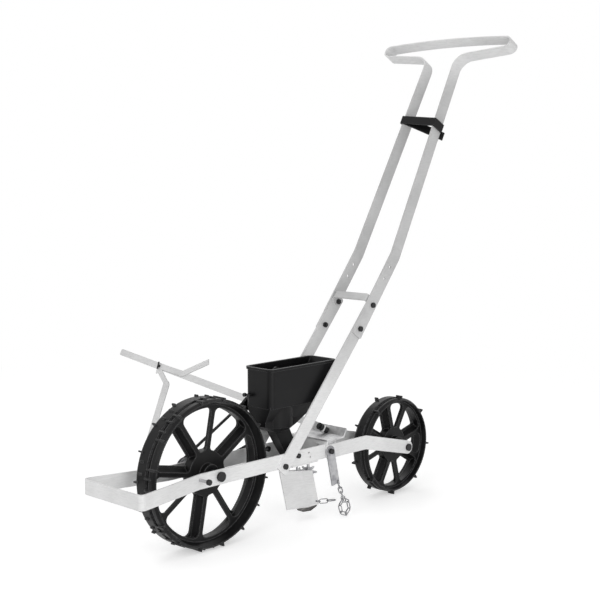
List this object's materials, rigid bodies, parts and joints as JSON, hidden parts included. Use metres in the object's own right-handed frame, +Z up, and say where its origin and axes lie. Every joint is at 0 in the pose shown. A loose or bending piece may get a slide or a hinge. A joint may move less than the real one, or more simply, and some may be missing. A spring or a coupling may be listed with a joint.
{
  "type": "row seeder",
  "caption": "Walk-behind row seeder with a lugged wheel in front and behind, a belt-driven seed hopper, an opener shoe, a drag chain, a side row marker and a bent flat-bar handle with a wide grip loop",
  "frame": {"origin": "on the ground under the middle of the bounding box of the rest pose, with the marker arm down on the right", "axes": "+X points back to the operator, +Y to the operator's right, +Z up"},
  "size_m": [0.987, 0.9182, 1.0104],
  "materials": {
    "coated_steel": "satin light grey coat, worn at the bolts and edges",
    "zinc_steel": "zinc plated, dull",
    "black_bolt": "black oxide, half gloss",
    "wheel_plastic": "moulded, half matt",
    "hopper_plastic": "moulded, fine grain",
    "belt_rubber": "matt",
    "pulley_alloy": "cast, dull",
    "roller_nylon": "natural nylon",
    "foot_iron": "dark, rubbed by soil"
  },
  "bodies": {
    "chassis": {"front_frame": "coated_steel", "rear_frame": "coated_steel", "frame_rivets": "zinc_steel", "axle_bushes": "black_bolt", "rear_axle": "black_bolt", "rear_axle_nut": "black_bolt", "rear_spacers": "zinc_steel", "standoff_bolt": "black_bolt", "lower_handle_left": "coated_steel", "lower_handle_right": "coated_steel", "upper_handle": "coated_steel", "handle_bracket": "coated_steel", "joint_bolts": "black_bolt", "joint_nuts": "black_bolt", "rail_bolts": "black_bolt", "rail_nuts": "black_bolt", "handle_clip": "hopper_plastic", "hopper": "hopper_plastic", "seed_baffle": "hopper_plastic", "hopper_studs": "black_bolt", "seed_chute": "hopper_plastic", "chute_screws": "zinc_steel", "opener_bracket": "coated_steel", "opener_stud": "zinc_steel", "marker_plate": "coated_steel", "marker_pivot": "black_bolt", "strap_bolt": "black_bolt", "strap_nut": "black_bolt", "drive_belt": "belt_rubber"},
    "front_wheel_set": {"front_wheel": "wheel_plastic", "front_axle": "black_bolt", "front_axle_nut": "black_bolt", "drive_pulley": "pulley_alloy", "axle_spacer": "black_bolt"},
    "seed_drive": {"seed_shaft": "zinc_steel", "seed_roller": "roller_nylon", "seed_pulley": "hopper_plastic"},
    "rear_wheel_set": {"rear_wheel": "wheel_plastic", "rear_hub_bush": "black_bolt"},
    "opener": {"opener_shoe": "coated_steel", "opener_foot": "foot_iron", "opener_web": "zinc_steel", "wing_nut": "zinc_steel", "lock_nut": "zinc_steel", "drag_chain": "zinc_steel"},
    "strap": {"drag_strap": "zinc_steel", "hanging_chain": "zinc_steel"},
    "marker": {"marker_arm": "coated_steel"},
    "blade": {"marker_blade": "coated_steel", "clamp_screw": "black_bolt"}
  },
  "joints": [
    {"name": "front_wheel_turn", "type": "hinge", "parent": "chassis", "child": "front_wheel_set", "pos_m": [-0.27551, -0.28188, 0.1465], "axis": [0, 1, 0], "continuous": true},
    {"name": "seed_shaft_turn", "type": "hinge", "parent": "chassis", "child": "seed_drive", "pos_m": [-0.08551, -0.28188, 0.218], "axis": [0, 1, 0], "continuous": true},
    {"name": "rear_wheel_turn", "type": "hinge", "parent": "chassis", "child": "rear_wheel_set", "pos_m": [0.27549, -0.28188, 0.1097], "axis": [0, 1, 0], "continuous": true},
    {"name": "opener_depth", "type": "slide", "parent": "chassis", "child": "opener", "axis": [0, 0, 1], "range_m": [-0.026, 0.012]},
    {"name": "strap_swing", "type": "hinge", "parent": "chassis", "child": "strap", "pos_m": [0.02209, -0.33188, 0.1449], "axis": [0, -1, 0], "range_deg": [-15, 30]},
    {"name": "marker_swing", "type": "hinge", "parent": "chassis", "child": "marker", "pos_m": [0.05275, -0.28188, 0.18123], "axis": [0.8746, 0, -0.4848], "range_deg": [0, 77]},
    {"name": "blade_reach", "type": "slide", "parent": "marker", "child": "blade", "axis": [0.0574, 0.993, 0.1036], "range_m": [-0.3, 0.14]}
  ],
  "couplings": [
    {"joint": "seed_shaft_turn", "follows": "front_wheel_turn", "ratio": 0.35484}
  ]
}
